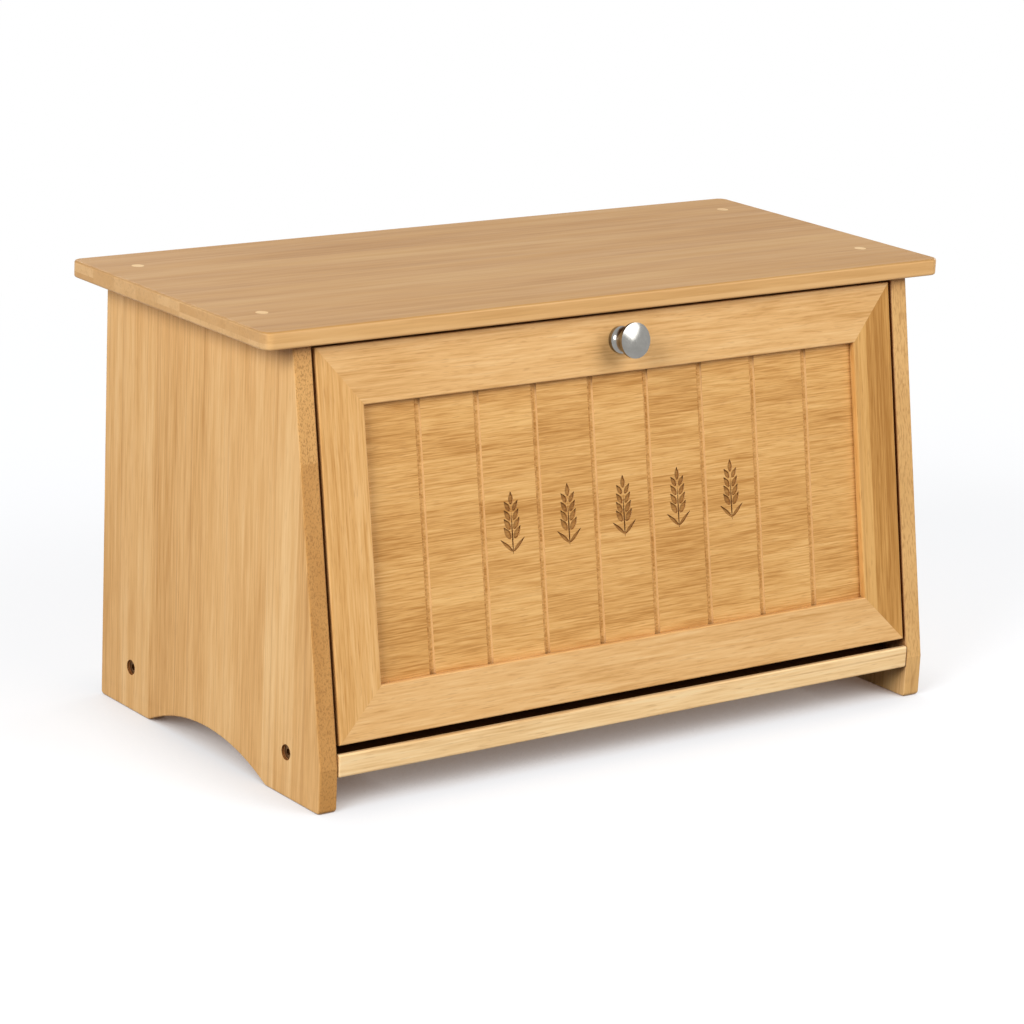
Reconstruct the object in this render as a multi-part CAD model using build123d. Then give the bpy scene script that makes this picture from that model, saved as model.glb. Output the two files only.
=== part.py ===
from build123d import *
import os
from math import atan2, cos, degrees, hypot, sin

# Wooden bread box with a slanted front door that drops forward on two hinge pins.
# Millimetres. X to the right, Y to the back, Z up.
# The origin is on the standing surface, under the centre of the whole box.

# ---------------------------------------------------------------- case
TOP_WIDTH = 404.0
TOP_DEPTH = 176.0
TOP_THICKNESS = 8.5
TOP_CORNER_RADIUS = 5.0
TOP_EDGE_ROUND = 1.3
TOP_SIDE_OVERHANG = 18.0
TOP_BACK_OVERHANG = 4.0

HEIGHT = 222.0
BASE_DEPTH = 200.0
SIDE_THICKNESS = 10.0
SIDE_TOP_DEPTH = 166.8
FOOT_HEIGHT = 21.0
FOOT_CORNER_ROUND = 2.0
BOARD_EDGE_ROUND = 1.0

ARCH_SPAN = 107.0
ARCH_HEIGHT = 12.5
ARCH_END_ROUND = 5.0

SHELF_THICKNESS = 11.0
SHELF_HEIGHT = 16.3
SHELF_END_ROUND = 1.4
CHANNEL_LIP = 2.4
CHANNEL_WIDTH = 22.0
CHANNEL_DEPTH = 5.0

BACK_THICKNESS = 6.0
BACK_INSET = 8.0
BACK_GROOVE_DEPTH = 4.0
BACK_GROOVE_END_GAP = 0.2

# ---------------------------------------------------------------- door
DOOR_THICKNESS = 13.0
DOOR_SIDE_GAP = 1.8
DOOR_BOTTOM_GAP = 10.4
DOOR_TOP_GAP = 2.0
STILE_WIDTH = 24.7
TOP_RAIL_WIDTH = 28.5
BOTTOM_RAIL_WIDTH = 24.7
FRAME_EDGE_ROUND = 0.8

PANEL_RECESS = 3.5
PANEL_THICKNESS = 6.0
PANEL_TONGUE = 5.5
PANEL_TONGUE_GAP = 0.5
PANEL_GROOVE_COUNT = 8
PANEL_GROOVE_PITCH = 33.3
PANEL_GROOVE_WIDTH = 3.4
PANEL_GROOVE_DEPTH = 1.3

# ---------------------------------------------------------------- hinge
PIN_RADIUS = 2.0
PIN_AXIS_UP = 9.0
PIN_IN_STILE = 16.0
PIN_IN_SIDE = 7.0
PIN_HOLE_END_GAP = 0.3
PIN_RUNNING_CLEARANCE = 0.05

# ---------------------------------------------------------------- knob
KNOB_RADIUS = 8.6
KNOB_PROJECTION = 14.5
KNOB_ABOVE_RAIL_MIDDLE = 1.5
KNOB_RIM_THICKNESS = 3.2
KNOB_DOME = 1.6
KNOB_NECK_RADIUS = 4.6
KNOB_COLLAR_RADIUS = 6.6
KNOB_COLLAR_THICKNESS = 2.2
KNOB_SCREW_RADIUS = 2.0
KNOB_SCREW_IN_KNOB = 8.0
KNOB_SCREW_HEAD_RADIUS = 3.8
KNOB_SCREW_HEAD_HEIGHT = 2.6
KNOB_SCREW_HOLE_CLEARANCE = 0.2

# ---------------------------------------------------------------- case screws and plugs
SCREW_RADIUS = 1.8
SCREW_HOLE_CLEARANCE = 0.2
TOP_SCREW_LENGTH = 30.0
TOP_SCREW_HEAD_RADIUS = 2.8
TOP_SCREW_HEAD_HEIGHT = 1.8
PLUG_RADIUS = 3.0
PLUG_THICKNESS = 2.6
TOP_SCREW_REAR_INSET = 23.0
TOP_SCREW_FRONT_INSET = 32.0
TOP_SCREW_OFF_MIDDLE = 1.5

SIDE_SCREW_LENGTH = 34.0
SIDE_SCREW_HEAD_RADIUS = 3.5
SIDE_SCREW_HEAD_HEIGHT = 2.4
SIDE_SCREW_SINK = 1.4
SIDE_SCREW_INSET = 29.0
COUNTERBORE_CLEARANCE = 0.3
SOCKET_ACROSS_FLATS = 3.0
SOCKET_DEPTH = 1.5

# ---------------------------------------------------------------- magnetic catch
CATCH_WIDTH = 40.0
CATCH_DEPTH = 15.0
CATCH_HEIGHT = 11.0
CATCH_GAP = 0.3
CATCH_WALL = 2.0
MAGNET_WIDTH = 22.0
MAGNET_HEIGHT = 5.0
POLE_THICKNESS = 1.0
POLE_STAND_OUT = 0.6
CATCH_SCREW_RADIUS = 1.2
CATCH_SCREW_LENGTH = 6.0
CATCH_SCREW_HEAD_RADIUS = 2.2
CATCH_SCREW_HEAD_HEIGHT = 1.4
CATCH_SCREW_EDGE = 3.8
STRIKE_WIDTH = 34.0
STRIKE_HEIGHT = 8.0
STRIKE_THICKNESS = 1.2
STRIKE_TOP_INSET = 0.8
STRIKE_SCREW_LENGTH = 8.0

# ---------------------------------------------------------------- derived sizes
FRONT = -(BASE_DEPTH + TOP_BACK_OVERHANG) / 2
REAR = FRONT + BASE_DEPTH
TOP_BACK = REAR + TOP_BACK_OVERHANG
TOP_FRONT = TOP_BACK - TOP_DEPTH
TOP_UNDERSIDE = HEIGHT - TOP_THICKNESS
SIDE_OUTER = TOP_WIDTH / 2 - TOP_SIDE_OVERHANG
SIDE_INNER = SIDE_OUTER - SIDE_THICKNESS
SIDE_MIDDLE = (SIDE_OUTER + SIDE_INNER) / 2
SIDE_TOP_FRONT = REAR - SIDE_TOP_DEPTH
SHELF_TOP = SHELF_HEIGHT + SHELF_THICKNESS
BASE_MIDDLE = (FRONT + REAR) / 2

LEAN = atan2(SIDE_TOP_FRONT - FRONT, TOP_UNDERSIDE - FOOT_HEIGHT)
SLOPE_LENGTH = hypot(SIDE_TOP_FRONT - FRONT, TOP_UNDERSIDE - FOOT_HEIGHT)

DOOR_HALF = SIDE_INNER - DOOR_SIDE_GAP
DOOR_LOW = DOOR_BOTTOM_GAP
DOOR_HIGH = SLOPE_LENGTH - DOOR_TOP_GAP
OPENING_HALF = DOOR_HALF - STILE_WIDTH
OPENING_LOW = DOOR_LOW + BOTTOM_RAIL_WIDTH
OPENING_HIGH = DOOR_HIGH - TOP_RAIL_WIDTH
PIN_DOWN_SLOPE = DOOR_LOW + PIN_AXIS_UP
PIN_DEPTH = DOOR_THICKNESS / 2
KNOB_UP_SLOPE = DOOR_HIGH - TOP_RAIL_WIDTH / 2 + KNOB_ABOVE_RAIL_MIDDLE

# The door is drawn upright, its front face on y = 0 and its foot line on z = 0,
# and then leaned back onto the slanted front edges of the side panels.
DOOR_PLACE = Location((0, FRONT, FOOT_HEIGHT), (-degrees(LEAN), 0, 0))


def door_point(inward, up_slope):
    """Y and Z of a point given in the door's upright drawing."""
    y = FRONT + inward * cos(LEAN) + up_slope * sin(LEAN)
    z = FOOT_HEIGHT - inward * sin(LEAN) + up_slope * cos(LEAN)
    return y, z


def block(x0, x1, y0, y1, z0, z1):
    """A rectangular block between two opposite corners."""
    size = (x1 - x0, y1 - y0, z1 - z0)
    return Pos((x0 + x1) / 2, (y0 + y1) / 2, (z0 + z1) / 2) * Box(*size)


def slab_yz(points, x0, x1):
    """An outline in the YZ plane, thickened from x0 to x1."""
    face = Plane.YZ * make_face(Polyline(*points, close=True))
    return Pos(x0, 0, 0) * extrude(face, amount=x1 - x0)


def slab_xz(points, y0, y1):
    """An outline in the XZ plane, thickened from y0 to y1."""
    face = Plane.XZ * make_face(Polyline(*points, close=True))
    return Pos(0, y1, 0) * extrude(face, amount=y1 - y0)


def turned(profile):
    """A round piece about Z from its (radius, height) outline."""
    face = Plane.XZ * make_face(Polyline(*profile, close=True))
    return revolve(face, Axis.Z)


def rod(radius, low, high):
    """A round bar about Z from low to high."""
    return Pos(0, 0, (low + high) / 2) * Cylinder(radius, high - low)


def wood_screw(length, radius, head_radius, head_height):
    """A flat-topped wood screw about Z: head top on z = 0, pointing down."""
    tip = 2 * radius
    return turned(
        [
            (0, 0),
            (head_radius, 0),
            (radius, -head_height),
            (radius, -length + tip),
            (0, -length),
        ]
    )


def save(node, pieces):
    """Write one node, whose pieces stay separate solids."""
    shape = pieces[0] if len(pieces) == 1 else Compound(children=pieces)
    export_step(shape, f"parts/{node}.step")


# ---------------------------------------------------------------- fasteners of the case
top_screw_ys = (SIDE_TOP_FRONT + TOP_SCREW_FRONT_INSET, REAR - TOP_SCREW_REAR_INSET)
top_screw_x = SIDE_MIDDLE + TOP_SCREW_OFF_MIDDLE
top_screw_places = [(x, y) for x in (-top_screw_x, top_screw_x) for y in top_screw_ys]
PLUG_FLOOR = HEIGHT - PLUG_THICKNESS

top_plugs = [Pos(x, y, 0) * rod(PLUG_RADIUS, PLUG_FLOOR, HEIGHT) for x, y in top_screw_places]
top_screw = wood_screw(
    TOP_SCREW_LENGTH, SCREW_RADIUS, TOP_SCREW_HEAD_RADIUS, TOP_SCREW_HEAD_HEIGHT
)
top_screws = [Pos(x, y, PLUG_FLOOR) * top_screw for x, y in top_screw_places]

side_screw_blank = wood_screw(
    SIDE_SCREW_LENGTH, SCREW_RADIUS, SIDE_SCREW_HEAD_RADIUS, SIDE_SCREW_HEAD_HEIGHT
)
socket = extrude(RegularPolygon(SOCKET_ACROSS_FLATS / 2, 6, major_radius=False), -SOCKET_DEPTH)
side_screw = side_screw_blank - socket
SHELF_MIDDLE = SHELF_HEIGHT + SHELF_THICKNESS / 2
SCREW_SEAT = SIDE_OUTER - SIDE_SCREW_SINK
side_screw_ys = (FRONT + SIDE_SCREW_INSET, REAR - SIDE_SCREW_INSET)


def on_right_side(shape, y):
    """Stand a piece drawn about Z on the right side panel, its head outwards."""
    return Location((SCREW_SEAT, y, SHELF_MIDDLE), (0, 90, 0)) * shape


def on_left_side(shape, y):
    """The same on the left side panel."""
    return Location((-SCREW_SEAT, y, SHELF_MIDDLE), (0, -90, 0)) * shape


side_screws = []
for screw_y in side_screw_ys:
    side_screws.append(on_right_side(side_screw, screw_y))
    side_screws.append(on_left_side(side_screw, screw_y))

# ---------------------------------------------------------------- hinge pins
pin_y, pin_z = door_point(PIN_DEPTH, PIN_DOWN_SLOPE)
PIN_INNER_END = DOOR_HALF - PIN_IN_STILE
PIN_OUTER_END = SIDE_INNER + PIN_IN_SIDE
pin_upright = Rot(0, 90, 0) * rod(PIN_RADIUS, PIN_INNER_END, PIN_OUTER_END)
right_pin = Pos(0, pin_y, pin_z) * pin_upright
left_pin = mirror(right_pin, Plane.YZ)
pin_hole = Pos(0, pin_y, pin_z) * Rot(0, 90, 0) * rod(
    PIN_RADIUS + PIN_RUNNING_CLEARANCE, SIDE_INNER - 1.0, PIN_OUTER_END + PIN_HOLE_END_GAP
)

# ---------------------------------------------------------------- top board
top_outline = RectangleRounded(TOP_WIDTH, TOP_DEPTH, TOP_CORNER_RADIUS)
top_board = Pos(0, (TOP_FRONT + TOP_BACK) / 2, TOP_UNDERSIDE) * extrude(
    top_outline, TOP_THICKNESS
)
top_rims = top_board.edges().group_by(Axis.Z)
top_board = fillet(top_rims[0] + top_rims[-1], TOP_EDGE_ROUND)
for x, y in top_screw_places:
    top_board -= Pos(x, y, 0) * rod(PLUG_RADIUS, PLUG_FLOOR, HEIGHT + 1.0)
    top_board -= Pos(x, y, PLUG_FLOOR) * top_screw
    shank_top = PLUG_FLOOR - TOP_SCREW_HEAD_HEIGHT
    top_board -= Pos(x, y, 0) * rod(
        SCREW_RADIUS + SCREW_HOLE_CLEARANCE, TOP_UNDERSIDE - 1.0, shank_top
    )

# ---------------------------------------------------------------- side panels
side_outline = [
    (FRONT, 0),
    (FRONT, FOOT_HEIGHT),
    (SIDE_TOP_FRONT, TOP_UNDERSIDE),
    (REAR, TOP_UNDERSIDE),
    (REAR, 0),
]
right_side = slab_yz(side_outline, SIDE_INNER, SIDE_OUTER)

# The arch under each side panel is one wide arc with a rounded corner at each foot.
ARCH_RADIUS = ((ARCH_SPAN / 2) ** 2 + ARCH_HEIGHT**2) / (2 * ARCH_HEIGHT)
arch_centre = ARCH_HEIGHT - ARCH_RADIUS
arch = Pos((SIDE_INNER + SIDE_OUTER) / 2, BASE_MIDDLE, arch_centre) * Rot(0, 90, 0) * Cylinder(
    ARCH_RADIUS, SIDE_THICKNESS + 2.0
)
right_side -= arch
arch_corners = [
    edge
    for edge in right_side.edges().filter_by(Axis.X)
    if edge.center().Z < 0.01 and abs(edge.center().Y - BASE_MIDDLE) < ARCH_SPAN / 2 + 0.01
]
right_side = fillet(arch_corners, ARCH_END_ROUND)
foot_corners = [
    edge
    for edge in right_side.edges().filter_by(Axis.X)
    if edge.center().Z < 0.01 and abs(edge.center().Y - BASE_MIDDLE) > BASE_DEPTH / 2 - 0.01
]
right_side = fillet(foot_corners, FOOT_CORNER_ROUND)

# The long outer arrises are eased, apart from those under the top board.
for face_x in (SIDE_OUTER, SIDE_INNER):
    eased = [
        edge
        for edge in right_side.edges()
        if abs(edge.center().X - face_x) < 0.01 and edge.center().Z < TOP_UNDERSIDE - 0.01
    ]
    right_side = fillet(eased, BOARD_EDGE_ROUND)

back_front_y = REAR - BACK_INSET - BACK_THICKNESS
back_rear_y = REAR - BACK_INSET
right_side -= block(
    SIDE_INNER - 1.0,
    SIDE_INNER + BACK_GROOVE_DEPTH,
    back_front_y,
    back_rear_y,
    SHELF_TOP,
    TOP_UNDERSIDE + 1.0,
)
right_side -= pin_hole
for screw_y in side_screw_ys:
    bore = rod(SIDE_SCREW_HEAD_RADIUS + COUNTERBORE_CLEARANCE, 0, SIDE_SCREW_SINK + 1.0)
    shank_hole = rod(
        SCREW_RADIUS + SCREW_HOLE_CLEARANCE, -SIDE_THICKNESS, -SIDE_SCREW_HEAD_HEIGHT
    )
    right_side -= on_right_side(bore, screw_y)
    right_side -= on_right_side(side_screw_blank, screw_y)
    right_side -= on_right_side(shank_hole, screw_y)
for screw_y in top_screw_ys:
    right_side -= Pos(top_screw_x, screw_y, PLUG_FLOOR) * top_screw
left_side = mirror(right_side, Plane.YZ)

# ---------------------------------------------------------------- shelf and back panel
shelf = block(-SIDE_INNER, SIDE_INNER, FRONT, REAR, SHELF_HEIGHT, SHELF_TOP)
shelf_ends = [
    edge for edge in shelf.edges().filter_by(Axis.Z) if edge.center().Y < FRONT + 0.01
]
shelf = fillet(shelf_ends, SHELF_END_ROUND)
shelf_arrises = [
    edge
    for edge in shelf.edges().filter_by(Axis.X)
    if edge.center().Y < FRONT + 0.01 or edge.center().Y > REAR - 0.01
]
shelf = fillet(shelf_arrises, BOARD_EDGE_ROUND)

# A shallow channel behind the shelf's front lip leaves room under the door's lower edge.
channel_front = FRONT + CHANNEL_LIP
shelf -= block(
    -SIDE_INNER - 1.0,
    SIDE_INNER + 1.0,
    channel_front,
    channel_front + CHANNEL_WIDTH,
    SHELF_TOP - CHANNEL_DEPTH,
    SHELF_TOP + 1.0,
)
for screw in side_screws:
    shelf -= screw

BACK_HALF = SIDE_INNER + BACK_GROOVE_DEPTH - BACK_GROOVE_END_GAP
back_panel = block(-BACK_HALF, BACK_HALF, back_front_y, back_rear_y, SHELF_TOP, TOP_UNDERSIDE)

# ---------------------------------------------------------------- door frame, drawn upright
panel_front = PANEL_RECESS
panel_back = PANEL_RECESS + PANEL_THICKNESS
housing_depth = PANEL_TONGUE + PANEL_TONGUE_GAP
panel_housing = block(
    -OPENING_HALF - housing_depth,
    OPENING_HALF + housing_depth,
    panel_front,
    panel_back,
    OPENING_LOW - housing_depth,
    OPENING_HIGH + housing_depth,
)


def mitred(outer_start, outer_end, inner_start, inner_end, along):
    """One frame member: a bar with eased long arrises, mitred at both ends."""
    corners = [outer_start, outer_end, inner_end, inner_start]
    xs = [x for x, z in corners]
    zs = [z for x, z in corners]
    bar = block(min(xs), max(xs), 0, DOOR_THICKNESS, min(zs), max(zs))
    bar = fillet(bar.edges().filter_by(along), FRAME_EDGE_ROUND)
    return (bar & slab_xz(corners, -1.0, DOOR_THICKNESS + 1.0)) - panel_housing


outer_left_low = (-DOOR_HALF, DOOR_LOW)
outer_left_high = (-DOOR_HALF, DOOR_HIGH)
outer_right_low = (DOOR_HALF, DOOR_LOW)
outer_right_high = (DOOR_HALF, DOOR_HIGH)
inner_left_low = (-OPENING_HALF, OPENING_LOW)
inner_left_high = (-OPENING_HALF, OPENING_HIGH)
inner_right_low = (OPENING_HALF, OPENING_LOW)
inner_right_high = (OPENING_HALF, OPENING_HIGH)

left_stile = mitred(outer_left_low, outer_left_high, inner_left_low, inner_left_high, Axis.Z)
right_stile = mitred(outer_right_low, outer_right_high, inner_right_low, inner_right_high, Axis.Z)
top_rail = mitred(outer_left_high, outer_right_high, inner_left_high, inner_right_high, Axis.X)
bottom_rail = mitred(outer_left_low, outer_right_low, inner_left_low, inner_right_low, Axis.X)

# Each hinge pin crosses the mitre low in the door, so it passes through both members.
left_stile = DOOR_PLACE * left_stile - left_pin
right_stile = DOOR_PLACE * right_stile - right_pin
bottom_rail = DOOR_PLACE * bottom_rail - left_pin - right_pin

# ---------------------------------------------------------------- door panel
panel = block(
    -OPENING_HALF - PANEL_TONGUE,
    OPENING_HALF + PANEL_TONGUE,
    panel_front,
    panel_back,
    OPENING_LOW - PANEL_TONGUE,
    OPENING_HIGH + PANEL_TONGUE,
)
# The grooves are shallow coves: a round bar is taken out along each.
GROOVE_RADIUS = (PANEL_GROOVE_WIDTH**2 / 4 + PANEL_GROOVE_DEPTH**2) / (2 * PANEL_GROOVE_DEPTH)
groove_axis = panel_front + PANEL_GROOVE_DEPTH - GROOVE_RADIUS
groove = rod(GROOVE_RADIUS, OPENING_LOW - PANEL_TONGUE - 1.0, OPENING_HIGH + PANEL_TONGUE + 1.0)
for index in range(PANEL_GROOVE_COUNT):
    groove_x = (index - (PANEL_GROOVE_COUNT - 1) / 2) * PANEL_GROOVE_PITCH
    panel -= Pos(groove_x, groove_axis, 0) * groove
panel = DOOR_PLACE * panel

# ---------------------------------------------------------------- knob and its screw
# Both are drawn about Z, out of the door's front face, and turned to point forward.
RIM_BACK = KNOB_PROJECTION - KNOB_DOME - KNOB_RIM_THICKNESS
DOME_RADIUS = (KNOB_RADIUS**2 + KNOB_DOME**2) / (2 * KNOB_DOME)
neck_waist = (KNOB_COLLAR_THICKNESS + RIM_BACK) / 2
knob_outline = [
    Line((0, 0), (KNOB_COLLAR_RADIUS, 0)),
    Line((KNOB_COLLAR_RADIUS, 0), (KNOB_COLLAR_RADIUS, KNOB_COLLAR_THICKNESS)),
    ThreePointArc(
        (KNOB_COLLAR_RADIUS, KNOB_COLLAR_THICKNESS),
        (KNOB_NECK_RADIUS, neck_waist),
        (KNOB_COLLAR_RADIUS + 0.6, RIM_BACK),
    ),
    Line((KNOB_COLLAR_RADIUS + 0.6, RIM_BACK), (KNOB_RADIUS, RIM_BACK + KNOB_RIM_THICKNESS / 2)),
    Line((KNOB_RADIUS, RIM_BACK + KNOB_RIM_THICKNESS / 2), (KNOB_RADIUS, KNOB_PROJECTION)),
    Line((KNOB_RADIUS, KNOB_PROJECTION), (0, KNOB_PROJECTION)),
    Line((0, KNOB_PROJECTION), (0, 0)),
]
knob = revolve(Plane.XZ * make_face(knob_outline), Axis.Z)
knob &= Location((0, 0, KNOB_PROJECTION - DOME_RADIUS), (90, 0, 0)) * Sphere(DOME_RADIUS)
rim_edges = [
    edge
    for edge in knob.edges().filter_by(GeomType.CIRCLE)
    if abs(edge.radius - KNOB_RADIUS) < 0.01
]
knob = fillet(rim_edges, 0.7)
knob_screw = rod(KNOB_SCREW_RADIUS, -DOOR_THICKNESS, KNOB_SCREW_IN_KNOB)
knob -= knob_screw
screw_head = rod(
    KNOB_SCREW_HEAD_RADIUS, -DOOR_THICKNESS - KNOB_SCREW_HEAD_HEIGHT, -DOOR_THICKNESS
)
screw_head = fillet(screw_head.edges().group_by(Axis.Z)[0], 1.0)
knob_screw += screw_head
slot_half = 0.5
knob_screw -= block(
    -KNOB_SCREW_HEAD_RADIUS,
    KNOB_SCREW_HEAD_RADIUS,
    -slot_half,
    slot_half,
    -DOOR_THICKNESS - KNOB_SCREW_HEAD_HEIGHT,
    -DOOR_THICKNESS - KNOB_SCREW_HEAD_HEIGHT / 2,
)
knob_hole = rod(KNOB_SCREW_RADIUS + KNOB_SCREW_HOLE_CLEARANCE, -DOOR_THICKNESS - 1.0, 1.0)

# ---------------------------------------------------------------- strike plate on the door
strike_high = DOOR_HIGH - STRIKE_TOP_INSET
strike_low = strike_high - STRIKE_HEIGHT
strike_middle = (strike_high + strike_low) / 2
strike_plate = block(
    -STRIKE_WIDTH / 2,
    STRIKE_WIDTH / 2,
    DOOR_THICKNESS,
    DOOR_THICKNESS + STRIKE_THICKNESS,
    strike_low,
    strike_high,
)
small_screw = wood_screw(
    STRIKE_SCREW_LENGTH, CATCH_SCREW_RADIUS, CATCH_SCREW_HEAD_RADIUS, STRIKE_THICKNESS
)
strike_screws = []
for strike_x in (-STRIKE_WIDTH / 2 + CATCH_SCREW_EDGE, STRIKE_WIDTH / 2 - CATCH_SCREW_EDGE):
    place = Location((strike_x, DOOR_THICKNESS + STRIKE_THICKNESS, strike_middle), (-90, 0, 0))
    strike_screws.append(place * small_screw)
for screw in strike_screws:
    strike_plate -= screw
    top_rail -= screw

forward = Location((0, 0, KNOB_UP_SLOPE), (90, 0, 0))
top_rail -= forward * knob_hole
top_rail = DOOR_PLACE * top_rail
knob = DOOR_PLACE * (forward * knob)
knob_screw = DOOR_PLACE * (forward * knob_screw)
strike_plate = DOOR_PLACE * strike_plate
strike_screws = [DOOR_PLACE * screw for screw in strike_screws]

# ---------------------------------------------------------------- magnetic catch under the top
catch_low = TOP_UNDERSIDE - CATCH_HEIGHT
strike_top_y, strike_top_z = door_point(DOOR_THICKNESS + STRIKE_THICKNESS, strike_high)
pole_front = strike_top_y + CATCH_GAP
catch_front = pole_front + POLE_STAND_OUT
catch_back = catch_front + CATCH_DEPTH
magnet_low = catch_low + CATCH_WALL
magnet_high = magnet_low + MAGNET_HEIGHT
catch_housing = block(
    -CATCH_WIDTH / 2, CATCH_WIDTH / 2, catch_front, catch_back, catch_low, TOP_UNDERSIDE
)
upright_arrises = catch_housing.edges().filter_by(Axis.Z)
catch_housing = fillet(upright_arrises, 1.5)
pole_low = magnet_low - POLE_THICKNESS
pole_high = magnet_high + POLE_THICKNESS
catch_housing -= block(
    -MAGNET_WIDTH / 2,
    MAGNET_WIDTH / 2,
    catch_front - 1.0,
    catch_back - CATCH_WALL,
    pole_low,
    pole_high,
)
catch_magnet = block(
    -MAGNET_WIDTH / 2,
    MAGNET_WIDTH / 2,
    catch_front,
    catch_back - CATCH_WALL,
    magnet_low,
    magnet_high,
)
pole_plates = [
    block(
        -MAGNET_WIDTH / 2,
        MAGNET_WIDTH / 2,
        pole_front,
        catch_back - CATCH_WALL,
        low,
        low + POLE_THICKNESS,
    )
    for low in (pole_low, magnet_high)
]
catch_screw_length = CATCH_HEIGHT - CATCH_SCREW_HEAD_HEIGHT + CATCH_SCREW_LENGTH
catch_screws = []
catch_middle = (catch_front + catch_back) / 2
for catch_x in (-CATCH_WIDTH / 2 + CATCH_SCREW_EDGE, CATCH_WIDTH / 2 - CATCH_SCREW_EDGE):
    screw = wood_screw(
        catch_screw_length,
        CATCH_SCREW_RADIUS,
        CATCH_SCREW_HEAD_RADIUS,
        CATCH_SCREW_HEAD_HEIGHT,
    )
    catch_screws.append(Location((catch_x, catch_middle, catch_low), (180, 0, 0)) * screw)
for screw in catch_screws:
    catch_housing -= screw
    top_board -= screw

# ---------------------------------------------------------------- write every node
os.makedirs("parts", exist_ok=True)
save("top_board", [top_board])
save("left_side", [left_side])
save("right_side", [right_side])
save("bottom_shelf", [shelf])
save("back_panel", [back_panel])
save("top_plugs", top_plugs)
save("top_screws", top_screws)
save("side_screws", side_screws)
save("catch_housing", [catch_housing])
save("catch_magnet", [catch_magnet])
save("catch_pole_plates", pole_plates)
save("catch_screws", catch_screws)
save("door_left_stile", [left_stile])
save("door_right_stile", [right_stile])
save("door_top_rail", [top_rail])
save("door_bottom_rail", [bottom_rail])
save("door_panel", [panel])
save("left_hinge_pin", [left_pin])
save("right_hinge_pin", [right_pin])
save("knob", [knob])
save("knob_screw", [knob_screw])
save("strike_plate", [strike_plate])
save("strike_screws", strike_screws)

print("lean of the door, degrees:", round(degrees(LEAN), 3))
print("hinge axis y, z:", round(pin_y, 4), round(pin_z, 4))
print("opening half width, low, high:", OPENING_HALF, OPENING_LOW, round(OPENING_HIGH, 3))
print("door low, high:", DOOR_LOW, round(DOOR_HIGH, 3), "knob", round(KNOB_UP_SLOPE, 3))
print("catch front, back:", round(catch_front, 3), round(catch_back, 3))
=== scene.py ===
import math

import bmesh
import bpy
from mathutils import Euler, Matrix, Quaternion, Vector


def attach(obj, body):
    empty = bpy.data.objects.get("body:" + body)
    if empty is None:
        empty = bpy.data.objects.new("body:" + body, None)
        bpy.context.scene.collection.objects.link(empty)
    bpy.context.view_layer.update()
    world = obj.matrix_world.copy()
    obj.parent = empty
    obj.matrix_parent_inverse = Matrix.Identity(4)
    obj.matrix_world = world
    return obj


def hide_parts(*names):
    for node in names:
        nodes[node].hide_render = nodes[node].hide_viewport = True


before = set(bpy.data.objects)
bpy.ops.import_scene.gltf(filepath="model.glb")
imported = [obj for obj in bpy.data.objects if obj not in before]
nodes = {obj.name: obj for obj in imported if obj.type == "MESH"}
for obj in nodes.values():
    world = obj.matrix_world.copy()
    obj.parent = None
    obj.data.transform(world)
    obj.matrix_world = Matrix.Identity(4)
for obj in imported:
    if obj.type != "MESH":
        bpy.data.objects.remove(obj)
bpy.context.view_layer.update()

scene = bpy.context.scene
scene.view_settings.view_transform = "Standard"
print("frame loaded, nodes:", len(nodes))

mm = 0.001

# where the leaning door stands: front corner of the feet, top of the feet, lean
door = {
    "front": -102.0 * mm,
    "footTop": 21.0 * mm,
    "lean": math.radians(9.7851),
    "openingLow": 35.1 * mm,
    "openingHigh": 164.842 * mm,
}
doorTurn = Euler((-door["lean"], 0.0, 0.0)).to_matrix().to_4x4()
doorPlace = Matrix.Translation((0.0, door["front"], door["footTop"])) @ doorTurn


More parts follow.
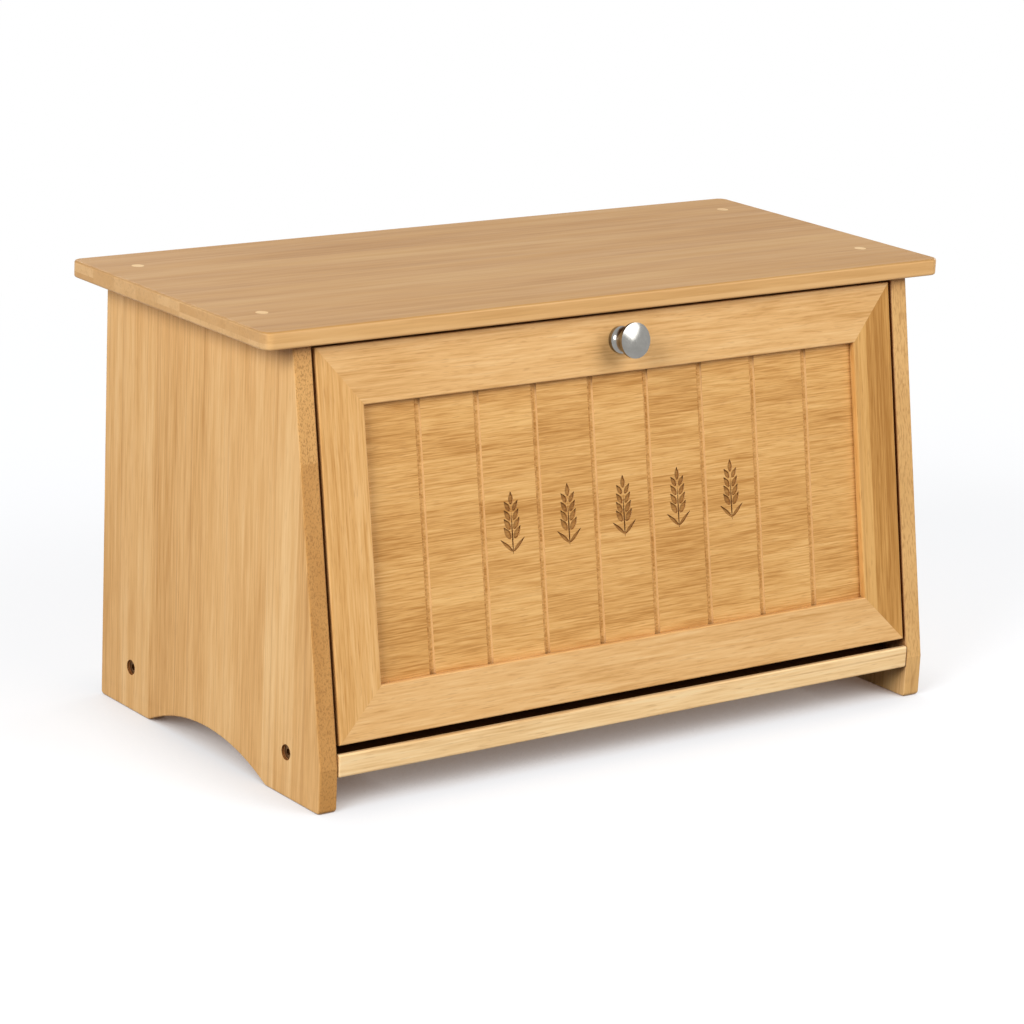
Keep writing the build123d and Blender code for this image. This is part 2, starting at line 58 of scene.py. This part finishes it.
# short hand for building node trees
class Tree:
    def __init__(self, material):
        material.use_nodes = True
        self.tree = material.node_tree
        self.tree.nodes.clear()
        self.column = 0

    def node(self, kind, **settings):
        made = self.tree.nodes.new(kind)
        self.column += 1
        made.location = (220 * (self.column % 12), -260 * (self.column // 12))
        for name, value in settings.items():
            setattr(made, name, value)
        return made

    def feed(self, socket, value):
        if isinstance(value, bpy.types.NodeSocket):
            self.tree.links.new(value, socket)
        else:
            socket.default_value = value

    def math(self, operation, first, second=0.0):
        made = self.node("ShaderNodeMath", operation=operation)
        self.feed(made.inputs[0], first)
        self.feed(made.inputs[1], second)
        return made.outputs[0]

    def plus(self, first, *others):
        for other in others:
            first = self.math("ADD", first, other)
        return first

    def times(self, first, *others):
        for other in others:
            first = self.math("MULTIPLY", first, other)
        return first

    def whole(self, value, pitch, shift=0.0):
        return self.math("FLOOR", self.plus(self.math("DIVIDE", value, pitch), shift))

    def ranged(self, value, low, high, toLow=0.0, toHigh=1.0):
        made = self.node("ShaderNodeMapRange", clamp=True)
        self.feed(made.inputs["Value"], value)
        made.inputs["From Min"].default_value = low
        made.inputs["From Max"].default_value = high
        made.inputs["To Min"].default_value = toLow
        made.inputs["To Max"].default_value = toHigh
        return made.outputs["Result"]

    def joined(self, x, y, z):
        made = self.node("ShaderNodeCombineXYZ")
        self.feed(made.inputs[0], x)
        self.feed(made.inputs[1], y)
        self.feed(made.inputs[2], z)
        return made.outputs[0]

    def noise(self, vector, detail=2.0, roughness=0.5, distortion=0.0):
        made = self.node("ShaderNodeTexNoise", noise_dimensions="3D")
        self.feed(made.inputs["Vector"], vector)
        made.inputs["Scale"].default_value = 1.0
        made.inputs["Detail"].default_value = detail
        made.inputs["Roughness"].default_value = roughness
        made.inputs["Distortion"].default_value = distortion
        return made.outputs[0]

    def random(self, x, y, z):
        made = self.node("ShaderNodeTexWhiteNoise", noise_dimensions="3D")
        self.feed(made.inputs["Vector"], self.joined(x, y, z))
        return made.outputs["Value"]

    def mixed(self, factor, first, second, blend="MIX"):
        made = self.node("ShaderNodeMix", data_type="RGBA", blend_type=blend)
        self.feed(made.inputs[0], factor)
        self.feed(made.inputs[6], first)
        self.feed(made.inputs[7], second)
        return made.outputs[2]

    def ramp(self, value, stops):
        made = self.node("ShaderNodeValToRGB")
        self.feed(made.inputs[0], value)
        points = made.color_ramp.elements
        points[0].position, points[0].color = stops[0][0], toned(stops[0][1])
        points[1].position, points[1].color = stops[-1][0], toned(stops[-1][1])
        for position, colour in stops[1:-1]:
            point = points.new(position)
            point.color = toned(colour)
        return made.outputs[0]

    def looked(self):
        # 1 for the rays that show a surface itself, 0 for those that carry its light
        path = self.node("ShaderNodeLightPath")
        seen = self.math("MAXIMUM", path.outputs["Is Camera Ray"], path.outputs["Is Glossy Ray"])
        return self.math("MAXIMUM", seen, path.outputs["Is Transmission Ray"])

    def shader(self, kind, **values):
        made = self.node(kind)
        for name, value in values.items():
            self.feed(made.inputs[name], value)
        return made.outputs[0]

    def blended(self, factor, first, second):
        made = self.node("ShaderNodeMixShader")
        for socket, value in zip(made.inputs, (factor, first, second)):
            self.feed(socket, value)
        return made.outputs[0]

    def crevices(self, distance, samples):
        made = self.node("ShaderNodeAmbientOcclusion", samples=samples)
        made.inputs["Distance"].default_value = distance
        return made.outputs["AO"]

    def output(self, kind, surface):
        self.feed(self.node(kind).inputs["Surface"], surface)

    def finish(self, values, colour, roughness, height, strength, depth):
        shader = self.node("ShaderNodeBsdfPrincipled")
        self.feed(shader.inputs["Base Color"], colour)
        self.feed(shader.inputs["Roughness"], roughness)
        for name, value in values.items():
            shader.inputs[name].default_value = value
        bump = self.node("ShaderNodeBump")
        bump.inputs["Strength"].default_value = strength
        bump.inputs["Distance"].default_value = depth
        self.feed(bump.inputs["Height"], height)
        self.feed(shader.inputs["Normal"], bump.outputs[0])
        self.output("ShaderNodeOutputMaterial", shader.outputs[0])


def toned(colour):
    # 0..255 display colour to linear, with alpha
    def linear(part):
        part = part / 255.0
        return part / 12.92 if part <= 0.04045 else ((part + 0.055) / 1.055) ** 2.4

    return tuple(linear(part) for part in colour) + (1.0,)


# the fibres' marks: scale along and across them, detail, waviness
fibreMarks = {
    "fine": (34.0, 820.0, 2.0, 0.0),
    "streak": (9.0, 260.0, 3.0, 0.0),
    "cloud": (5.5, 48.0, 3.0, 0.4),
    "veins": (3.0, 420.0, 1.0, 0.0),
    "flecks": (90.0, 1000.0, 1.0, 0.0),
    "patch": (30.0, 60.0, 2.0, 0.0),
}

# bamboo: laminated strips, long fibres, thin dark veins and flecks, speckled cut ends
bambooBase = {
    "along": "Z",               # the way the fibres run
    "across": "Y",              # the way the strips are laid side by side
    "turn": 0.0,                # lean of the piece about X
    "seed": 0.0,
    "stripWidth": 21.0 * mm,
    "plyThickness": 0.0,        # 0 is one strip through the whole thickness
    "stripTone": 0.16,
    "dark": (196, 142, 82),
    "middle": (222, 172, 111),
    "light": (236, 193, 136),
    "toneStops": (0.18, 0.50, 0.82),  # where the dark, middle and light tones are
    "vein": (170, 116, 62),
    "end": (204, 152, 92),
    "endLight": (226, 180, 122),
    "endDark": (158, 106, 54),
    "grain": (1.0, 1.0),        # how short and how narrow the fibres' marks are
    "markDepth": 1.6,           # how far the next three marks move the tone
    "fine": 0.50,
    "streak": 0.55,
    "cloud": 0.40,
    "veins": 0.30,
    "veinRange": (0.60, 0.72),
    "flecks": 0.30,
    "fleckRange": (0.60, 0.74),
    "cutRange": (0.55, 0.80),   # how squarely a face looks along the fibres
    "cutShares": (0.35, 0.45, 0.55),  # strip, patch and speckle in the cut ends' tone
    "cutTones": (0.35, 0.95),
    "pores": (330.0, 950.0, 0.70),  # scale along and across the fibres, strength
    "poreRange": (0.46, 0.66),
    "edgeFace": None,           # a direction whose faces look like cut fibre too
    "boardPitch": 0.0,          # boards side by side along the fibres
    "faceTint": None,           # a direction, and a colour that darkens and greys its faces: painted shade
    "paintedFaceShadeRange": (0.30, 0.70),
    "stain": None,              # painted shade of the dark slot under the door: front, back, height under which it lies
    "stainTone": (96, 68, 44),
    "nook": 9.0 * mm,           # painted shade: crevices narrower than this are darker
    "nookRange": (0.20, 0.80),
    "nookClear": 0.0,           # no painted crevice shade from the ground up to this height
    "nookTone": (128, 82, 44),
    "split": None,              # where two strips meet, and their tones
    "splitBlur": 0.2 * mm,
    "rough": 0.48,
    "roughSwing": (0.06, -0.05),
    "bump": 0.10,
    "bumpDepth": 0.15 * mm,
    "shine": {"IOR": 1.45, "Specular IOR Level": 0.22},
}


def bambooMaterial(name, **changes):
    look = dict(bambooBase)
    look.update(changes)
    material = bpy.data.materials.new(name)
    tree = Tree(material)
    place = tree.node("ShaderNodeTexCoord")

    def axesOf(socket, kind):
        turned = tree.node("ShaderNodeMapping", vector_type=kind)
        turned.inputs["Rotation"].default_value = (look["turn"], 0.0, 0.0)
        tree.feed(turned.inputs["Vector"], socket)
        parts = tree.node("ShaderNodeSeparateXYZ")
        tree.feed(parts.inputs[0], turned.outputs[0])
        return dict(zip("XYZ", parts.outputs))

    axes = axesOf(place.outputs["Object"], "POINT")
    facing = axesOf(place.outputs["Normal"], "NORMAL")
    along = axes[look["along"]]
    across = axes[look["across"]]
    throughAxis = [a for a in "XYZ" if a not in (look["along"], look["across"])][0]
    through = axes[throughAxis]

    # which strip, ply and board a point lies in
    strip = tree.whole(across, look["stripWidth"])
    ply = tree.whole(through, look["plyThickness"]) if look["plyThickness"] > 0 else 0.0
    board = 0.0
    if look["boardPitch"] > 0:
        inFront = tree.math("LESS_THAN", facing[throughAxis], 0.5)     # the back is one sheet
        board = tree.times(tree.whole(along, look["boardPitch"], 0.5), inFront)
    chance = tree.random(strip, ply, tree.plus(board, look["seed"]))

    # every strip starts its fibres somewhere else
    shifted = tree.plus(along, tree.times(chance, 7.3))

    def scaled(lengthways, sideways, start):
        return tree.joined(
            tree.times(start, lengthways),
            tree.times(across, sideways),
            tree.times(through, sideways),
        )

    def fibres(lengthways, sideways, detail, waviness):
        short, narrow = look["grain"]
        point = scaled(lengthways * short, sideways * narrow, shifted)
        return tree.noise(point, detail, 0.55, waviness)

    marks = {name: fibres(*scales) for name, scales in fibreMarks.items()}

    value = tree.plus(tree.times(tree.math("SUBTRACT", chance, 0.5), look["stripTone"]), 0.5)
    if look["split"]:
        where, lower, upper = look["split"]
        blur = look["splitBlur"]
        value = tree.plus(value, tree.ranged(across, where - blur, where + blur, lower, upper))
    for name in ("fine", "streak", "cloud"):
        centred = tree.math("SUBTRACT", marks[name], 0.5)
        value = tree.plus(value, tree.times(centred, look[name] * look["markDepth"]))
    tones = (look["dark"], look["middle"], look["light"])
    colour = tree.ramp(value, list(zip(look["toneStops"], tones)))
    for name, limits in (("veins", "veinRange"), ("flecks", "fleckRange")):
        mask = tree.times(tree.ranged(marks[name], *look[limits]), look[name])
        colour = tree.mixed(mask, colour, toned(look["vein"]))

    # cut fibre ends, where a face looks along the fibres
    cut = tree.ranged(tree.math("ABSOLUTE", facing[look["along"]]), *look["cutRange"])
    if look["edgeFace"]:
        axis, way = look["edgeFace"]
        edge = tree.ranged(tree.times(facing[axis], way), *look["cutRange"])
        cut = tree.math("MAXIMUM", cut, edge)
    poresAlong, poresAcross, poresStrength = look["pores"]
    speckle = tree.noise(scaled(poresAlong, poresAcross, along), 2.0, 0.6)
    parts = (chance, marks["patch"], speckle)
    cutTone = tree.plus(*(tree.times(*pair) for pair in zip(parts, look["cutShares"])))
    cutLight = tree.ranged(cutTone, *look["cutTones"])
    cutColour = tree.mixed(cutLight, toned(look["end"]), toned(look["endLight"]))
    pores = tree.times(tree.ranged(speckle, *look["poreRange"]), poresStrength)
    cutColour = tree.mixed(pores, cutColour, toned(look["endDark"]))
    colour = tree.mixed(cut, colour, cutColour)

    # painted shade: faces turned this way are darkened and greyed
    if look["faceTint"]:
        axis, way, tint = look["faceTint"]
        dull = tree.ranged(tree.times(facing[axis], way), *look["paintedFaceShadeRange"])
        colour = tree.mixed(dull, colour, toned(tint), "MULTIPLY")
    # painted shade: a box where the slot under the door lies in shadow is darkened
    if look["stain"]:
        front, back, height = look["stain"]
        inPaintedSlotShade = tree.times(
            tree.math("GREATER_THAN", axes["Y"], front),
            tree.math("LESS_THAN", axes["Y"], back),
            tree.math("LESS_THAN", axes["Z"], height),
        )
        colour = tree.mixed(inPaintedSlotShade, colour, toned(look["stainTone"]), "MULTIPLY")
    # painted shade: crevices, gaps and recesses darkened by ambient occlusion
    paintedShade = tree.ranged(tree.crevices(look["nook"], 5), *look["nookRange"], 1.0, 0.0)
    if look["nookClear"] > 0:
        paintedShade = tree.times(paintedShade, tree.ranged(axes["Z"], look["nookClear"] / 2, look["nookClear"]))
    colour = tree.mixed(paintedShade, colour, toned(look["nookTone"]), "MULTIPLY")

    calm, worn = (look["rough"] + swing for swing in look["roughSwing"])
    rough = tree.ranged(marks["streak"], 0.3, 0.7, calm, worn)
    height = tree.plus(tree.times(marks["fine"], 0.5), tree.times(marks["streak"], 0.5))
    tree.finish(look["shine"], colour, rough, height, look["bump"], look["bumpDepth"])
    return material


def metalMaterial(name, colour, roughness, grain, metallic=1.0, bump=0.02):
    material = bpy.data.materials.new(name)
    tree = Tree(material)
    place = tree.node("ShaderNodeTexCoord")
    cloud = tree.node("ShaderNodeTexNoise")
    tree.feed(cloud.inputs["Vector"], place.outputs["Object"])
    cloud.inputs["Scale"].default_value = grain
    cloud.inputs["Detail"].default_value = 3.0
    dull = toned(tuple(part * 0.93 for part in colour))
    shade = tree.mixed(tree.ranged(cloud.outputs[0], 0.3, 0.7), dull, toned(colour))
    rough = tree.ranged(cloud.outputs[0], 0.3, 0.7, roughness * 0.9, roughness * 1.1)
    tree.finish({"Metallic": metallic}, shade, rough, cloud.outputs[0], bump, 0.05 * mm)
    return material


def dress(node, material):
    mesh = nodes[node].data
    mesh.materials.clear()
    mesh.materials.append(material)


lean = door["lean"]
# the top board's upward faces carry painted shade
topBamboo = bambooMaterial(
    "bambooTop", along="X", across="Y", seed=12.0, stripWidth=20.0 * mm, plyThickness=4.25 * mm,
    dark=(196, 145, 84), middle=(222, 173, 112), light=(236, 192, 134), vein=(180, 128, 72),
    end=(198, 150, 94), endLight=(230, 188, 134), endDark=(178, 130, 76),
    fine=0.22, streak=0.16, cloud=0.50, veins=0.06, flecks=0.06, stripTone=0.18, rough=0.46,
    pores=(200.0, 500.0, 0.40), faceTint=("Z", 1.0, (218, 211, 193)),
)
# the sides' crevice settings paint the shade under the top's overhang and in the gaps
sideLook = {
    "along": "Z", "across": "Y", "stripWidth": 26.0 * mm, "edgeFace": ("Y", -1.0),
    "dark": (200, 147, 84), "middle": (226, 177, 115), "light": (240, 198, 140),
    "stripTone": 0.22, "fine": 0.38, "streak": 0.32, "veins": 0.27, "flecks": 0.20,
    "nook": 12.0 * mm, "nookRange": (0.25, 0.97), "nookClear": 14.0 * mm,
}
leftSideBamboo = bambooMaterial(
    "bambooLeftSide", seed=8.0, end=(189, 134, 70), endLight=(222, 170, 103),
    endDark=(148, 98, 46), pores=(750.0, 1500.0, 0.70), **sideLook
)
rightSideBamboo = bambooMaterial(
    "bambooRightSide", seed=13.0, end=(200, 150, 86), endLight=(232, 186, 122),
    endDark=(172, 122, 66), pores=(90.0, 1300.0, 0.70), **sideLook
)
# the shelf carries painted shade in the slot under the door
shelfBamboo = bambooMaterial(
    "bambooShelf", along="X", across="Y", seed=5.0, stripWidth=24.0 * mm,
    dark=(228, 184, 124), middle=(250, 212, 156), light=(255, 227, 178), stripTone=0.10,
    streak=0.28, cloud=0.30, stain=(-99.7 * mm, -77.5 * mm, 27.2 * mm),
)
backBamboo = bambooMaterial("bambooBack", along="X", across="Z", seed=11.0, stripWidth=24.0 * mm)
stileLook = {
    "along": "Z", "across": "X", "turn": lean, "stripWidth": 15.0 * mm,
    "stripTone": 0.10, "veins": 0.22, "flecks": 0.30, "fine": 0.58, "streak": 0.40,
    "grain": (1.3, 1.3), "nook": 3.5 * mm, "nookRange": (0.05, 0.50),
}
leftStileBamboo = bambooMaterial(
    "bambooLeftStile", seed=2.0, dark=(193, 138, 72), middle=(219, 167, 101),
    light=(233, 186, 124), **stileLook
)
rightStileBamboo = bambooMaterial(
    "bambooRightStile", seed=7.0, dark=(172, 118, 53), middle=(200, 146, 77),
    light=(220, 169, 100), split=(155.6 * mm, 0.30, -0.10), **dict(stileLook, vein=(150, 98, 44))
)
railBamboo = bambooMaterial(
    "bambooRail", along="X", across="Z", turn=lean, seed=6.0, stripWidth=19.0 * mm,
    dark=(199, 147, 83), middle=(225, 176, 114), light=(238, 196, 138), stripTone=0.08,
    veins=0.12, flecks=0.30, fine=0.50, streak=0.30, cloud=0.36, grain=(1.5, 1.4),
    nook=4.0 * mm, nookRange=(0.05, 0.55),
)
panelLook = {
    "along": "X", "across": "Z", "turn": lean, "seed": 4.0, "stripWidth": 23.0 * mm,
    "dark": (182, 126, 60), "middle": (214, 161, 93), "light": (232, 184, 117),
    "end": (216, 168, 108), "endLight": (232, 187, 127), "endDark": (194, 144, 84),
    "pores": (60.0, 400.0, 0.30), "boardPitch": 33.3 * mm,
    "nook": 6.0 * mm, "nookRange": (0.12, 0.66), "nookTone": (136, 92, 48),
    "grain": (1.5, 1.6), "streak": 0.30, "fine": 0.72, "cloud": 0.44, "stripTone": 0.15,
    "veins": 0.14, "flecks": 0.40,
}
panelBamboo = bambooMaterial("bambooPanel", **panelLook)
engravedBamboo = bambooMaterial(
    "bambooEngraved",
    **dict(panelLook, dark=(146, 96, 42), middle=(172, 121, 60), light=(190, 140, 78))
)
plugBamboo = bambooMaterial(
    "bambooPlug", along="X", across="Y", seed=9.0, stripWidth=9.0 * mm,
    dark=(206, 162, 106), middle=(234, 196, 140), light=(244, 214, 164), stripTone=0.05,
)
nickel = metalMaterial("satinNickel", (150, 148, 143), 0.21, 260.0, bump=0.01)
steel = metalMaterial("zincSteel", (186, 188, 190), 0.34, 700.0)
bronze = metalMaterial("bronzedBrass", (128, 96, 62), 0.38, 800.0)
plastic = metalMaterial("brownPlastic", (92, 64, 44), 0.5, 500.0, metallic=0.0)
ferrite = metalMaterial("ferrite", (44, 43, 42), 0.6, 600.0, metallic=0.0)

finishes = {
    "top_board": topBamboo, "left_side": leftSideBamboo, "right_side": rightSideBamboo,
    "bottom_shelf": shelfBamboo, "back_panel": backBamboo, "top_plugs": plugBamboo,
    "door_left_stile": leftStileBamboo, "door_right_stile": rightStileBamboo,
    "door_top_rail": railBamboo, "door_bottom_rail": railBamboo, "door_panel": panelBamboo,
    "top_screws": steel, "side_screws": bronze, "catch_housing": plastic,
    "catch_magnet": ferrite, "catch_pole_plates": steel, "catch_screws": steel,
    "left_hinge_pin": steel, "right_hinge_pin": steel, "knob": nickel, "knob_screw": steel,
    "strike_plate": steel, "strike_screws": steel,
}
for node, material in finishes.items():
    dress(node, material)
print("finishes on", len(finishes), "nodes")


# engraved ears of grain on the five middle boards of the door panel
ear = {
    "boards": 5,
    "boardPitch": 33.3 * mm,
    "height": 30.0 * mm,
    "kernelLength": 7.0 * mm,
    "kernelWidth": 3.3 * mm,
    "kernelOut": 2.9 * mm,      # from the stem to a kernel's middle
    "pairs": 4,
    "pairsRise": 17.0 * mm,     # what the pairs share of the height
    "smaller": 0.06,            # by which each pair is smaller than the one under it
    "spread": 34.0,             # degrees that a kernel leans out
    "tipShare": 0.9,
    "tipDrop": 3.0 * mm,
    "stemUp": 10.5 * mm,        # the stem's middle, and the lowest pair
    "stemLength": 21.0 * mm,
    "stemWidth": 0.9 * mm,
    "leafOut": 3.6 * mm,
    "leafUp": 4.6 * mm,
    "leafSpread": 48.0,
    "leafLength": 9.5 * mm,
    "leafWidth": 1.9 * mm,
    "depth": 0.7 * mm,
    "above": 1.0 * mm,          # how far the cutter stands out of the face
    "recess": 3.5 * mm,         # the panel's face behind the frame's
    "segments": 18,
    "pinchFrom": 0.45,          # a kernel narrows from this share of its length
    "pinch": 0.75,
    "pinchCurve": 1.2,
}


def addKernel(mesh, x, z, degrees, length, width):
    # a pointed leaf: a circle drawn out along its length and pinched at the tip
    low = ear["recess"] - ear["above"]
    high = ear["recess"] + ear["depth"]
    made = bmesh.ops.create_circle(mesh, cap_ends=True, segments=ear["segments"], radius=0.5)
    verts = made["verts"]
    for vert in verts:
        beyond = max(vert.co.y + 0.5 - ear["pinchFrom"], 0.0) / (1.0 - ear["pinchFrom"])
        vert.co.x *= (1.0 - ear["pinch"] * beyond ** ear["pinchCurve"]) * width
        vert.co.y *= length
    face = list({face for vert in verts for face in vert.link_faces})
    grown = bmesh.ops.extrude_face_region(mesh, geom=face)
    top = [item for item in grown["geom"] if isinstance(item, bmesh.types.BMVert)]
    bmesh.ops.translate(mesh, vec=(0.0, 0.0, high - low), verts=top)
    # the flat shape lies in X and Z of the upright door, its thickness along Y
    turn = Matrix.Rotation(math.radians(90.0), 4, "X")
    lay = Matrix.Translation((x, high, z)) @ Matrix.Rotation(math.radians(degrees), 4, "Y") @ turn
    bmesh.ops.transform(mesh, matrix=lay, verts=verts + top)


def addEar(mesh, x, foot):
    length, width, up = ear["kernelLength"], ear["kernelWidth"], foot + ear["stemUp"]
    for pair in range(ear["pairs"]):
        z = up + pair * ear["pairsRise"] / ear["pairs"]
        size = 1.0 - ear["smaller"] * pair
        for way in (-1.0, 1.0):
            out = x + way * ear["kernelOut"] * size
            addKernel(mesh, out, z, way * ear["spread"], length * size, width * size)
    top = foot + ear["height"] - ear["tipDrop"]
    addKernel(mesh, x, top, 0.0, length * ear["tipShare"], width * ear["tipShare"])
    for way in (-1.0, 1.0):     # two long leaves at the foot
        addKernel(
            mesh, x + way * ear["leafOut"], foot + ear["leafUp"], way * ear["leafSpread"],
            ear["leafLength"], ear["leafWidth"],
        )
    addKernel(mesh, x, up, 0.0, ear["stemLength"], ear["stemWidth"])


def earCutter():
    mesh = bmesh.new()
    foot = (door["openingLow"] + door["openingHigh"]) / 2 - ear["height"] / 2
    for board in range(ear["boards"]):
        addEar(mesh, (board - (ear["boards"] - 1) / 2) * ear["boardPitch"], foot)
    bmesh.ops.recalc_face_normals(mesh, faces=mesh.faces)
    bmesh.ops.transform(mesh, matrix=doorPlace, verts=mesh.verts)
    data = bpy.data.meshes.new("earCutter")
    mesh.to_mesh(data)
    mesh.free()
    data.materials.append(engravedBamboo)
    cutter = bpy.data.objects.new("earCutter", data)
    scene.collection.objects.link(cutter)
    return cutter


def engravedPanel():
    data = nodes["door_panel"].data.copy()
    mesh = bmesh.new()
    mesh.from_mesh(data)
    bmesh.ops.remove_doubles(mesh, verts=mesh.verts, dist=0.001 * mm)
    bmesh.ops.recalc_face_normals(mesh, faces=mesh.faces)
    for face in mesh.faces:
        face.smooth = False
        face.material_index = 0
    mesh.to_mesh(data)
    mesh.free()
    data.materials.clear()
    data.materials.append(panelBamboo)
    data.materials.append(engravedBamboo)
    piece = bpy.data.objects.new("engravedPanel", data)
    scene.collection.objects.link(piece)
    cutter = earCutter()
    cut = piece.modifiers.new("engrave", "BOOLEAN")
    cut.operation = "DIFFERENCE"
    cut.solver = "EXACT"
    cut.use_self = True
    cut.material_mode = "TRANSFER"
    cut.object = cutter
    bpy.context.view_layer.update()
    done = bpy.data.meshes.new_from_object(
        piece.evaluated_get(bpy.context.evaluated_depsgraph_get())
    )
    piece.modifiers.clear()
    piece.data = done
    bpy.data.objects.remove(cutter)
    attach(piece, "door")
    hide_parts("door_panel")
    return piece


panelPiece = engravedPanel()
print("panel engraved, faces:", len(panelPiece.data.polygons))


stage = {
    "floor": 7.0,
    "drop": 0.05 * mm,          # of the floor under the feet
    "bounce": (0.25, 0.25, 0.25),  # what the floor gives back to the box
    "seen": (0.40, 0.41, 0.43),  # its colour to the camera, where it shows the shadow
    "glow": 0.64,
    "nearFade": 0.45,           # from here on the floor turns to plain white
    "farFade": 0.95,
    "contact": 42.0 * mm,
    # painted contact shadow on the floor: what is left of the glow, from closed in to open, with
    # a painted warm bounce from the wood near the shelf
    "paintedContactShadow": (
        (0.0, (63, 39, 25)), (0.12, (118, 89, 69)), (0.19, (158, 134, 115)),
        (0.26, (197, 182, 170)), (0.31, (218, 206, 199)), (0.49, (231, 227, 225)),
        (0.72, (242, 242, 242)), (1.0, (255, 255, 255)),
    ),
    "world": 0.22,
}


def floorMaterial():
    material = bpy.data.materials.new("paleFloor")
    tree = Tree(material)
    place = tree.node("ShaderNodeTexCoord")
    reach = tree.node("ShaderNodeVectorMath", operation="LENGTH")
    tree.feed(reach.inputs[0], place.outputs["Object"])
    far = tree.ranged(reach.outputs["Value"], stage["nearFade"], stage["farFade"])
    bounce = tree.shader("ShaderNodeBsdfDiffuse", Color=stage["bounce"] + (1.0,))
    pale = tree.shader("ShaderNodeBsdfDiffuse", Color=stage["seen"] + (1.0,))
    # painted contact shadow: the glow is darkened by ambient occlusion near the box, warm near
    # the shelf
    left = tree.ramp(tree.crevices(stage["contact"], 8), stage["paintedContactShadow"])
    glow = tree.shader("ShaderNodeEmission", Color=left, Strength=stage["glow"])
    near = tree.node("ShaderNodeAddShader")
    tree.feed(near.inputs[0], pale)
    tree.feed(near.inputs[1], glow)
    white = tree.shader("ShaderNodeEmission", Strength=1.0)
    shown = tree.blended(far, near.outputs[0], white)
    tree.output("ShaderNodeOutputMaterial", tree.blended(tree.looked(), bounce, shown))
    return material


def makeFloor():
    mesh = bmesh.new()
    bmesh.ops.create_grid(mesh, x_segments=1, y_segments=1, size=stage["floor"])
    data = bpy.data.meshes.new("floor")
    mesh.to_mesh(data)
    mesh.free()
    data.materials.append(floorMaterial())
    floor = bpy.data.objects.new("floor", data)
    floor.location.z = -stage["drop"]
    scene.collection.objects.link(floor)


def makeWorld():
    scene.world = bpy.data.worlds.new("studio")
    tree = Tree(scene.world)
    strength = tree.ranged(tree.looked(), 0.0, 1.0, stage["world"], 1.0)
    white = (1.0, 1.0, 1.0, 1.0)
    back = tree.shader("ShaderNodeBackground", Color=white, Strength=strength)
    tree.output("ShaderNodeOutputWorld", back)


aim = (0.0, 0.0, 0.1)           # what all the lamps are turned to
lamps = {
    "right": {"at": (1.0, -2.15, 1.55), "size": 1.8, "power": 49.0, "spin": 38.0},
    "left": {"at": (-2.25, -0.85, 1.3), "size": 1.2, "power": 57.0, "spin": 0.0},
    "behind": {"at": (0.2, 2.3, 1.5), "size": 1.5, "power": 14.0, "spin": 0.0},
    "beside": {"at": (2.7, 0.8, 0.8), "size": 1.0, "power": 20.0, "spin": 0.0},
}


def makeLamps():
    for name, lamp in lamps.items():
        data = bpy.data.lights.new(name, "AREA")
        data.size = lamp["size"]
        data.energy = lamp["power"]
        light = bpy.data.objects.new(name, data)
        light.location = lamp["at"]
        facing = (Vector(aim) - Vector(lamp["at"])).to_track_quat("-Z", "Y")
        spin = Quaternion((0.0, 0.0, 1.0), math.radians(lamp["spin"]))
        light.rotation_euler = (facing @ spin).to_euler()
        scene.collection.objects.link(light)


# the camera stands where the photograph was taken from
eye = {
    "at": (-1047.0134 * mm, -1402.5735 * mm, 582.8241 * mm),
    "turn": 36.5753,            # degrees from straight ahead to the right
    "tilt": -15.5737,
    "roll": 2.6523,
    "focalPixels": 3625.761,
    "framePixels": 1024.0,
    "sensorWidth": 36.0,
    "clip": (0.05, 50.0),
}


def makeCamera():
    data = bpy.data.cameras.new("camera")
    data.sensor_fit = "HORIZONTAL"
    data.sensor_width = eye["sensorWidth"]
    data.lens = eye["focalPixels"] * eye["sensorWidth"] / eye["framePixels"]
    data.clip_start, data.clip_end = eye["clip"]
    turn = math.radians(eye["turn"])
    tilt = math.radians(eye["tilt"])
    roll = math.radians(eye["roll"])
    level = math.cos(tilt)
    ahead = Vector((math.sin(turn) * level, math.cos(turn) * level, math.sin(tilt)))
    right = Vector((math.cos(turn), -math.sin(turn), 0.0))
    up = right.cross(ahead)
    sideways = right * math.cos(roll) + up * math.sin(roll)
    upward = up * math.cos(roll) - right * math.sin(roll)
    camera = bpy.data.objects.new("camera", data)
    camera.matrix_world = Matrix.Translation(eye["at"]) @ Matrix(
        (sideways, upward, -ahead)
    ).transposed().to_4x4()
    scene.collection.objects.link(camera)
    scene.camera = camera


makeFloor()
makeWorld()
makeLamps()
makeCamera()
print("floor, lamps and camera placed")
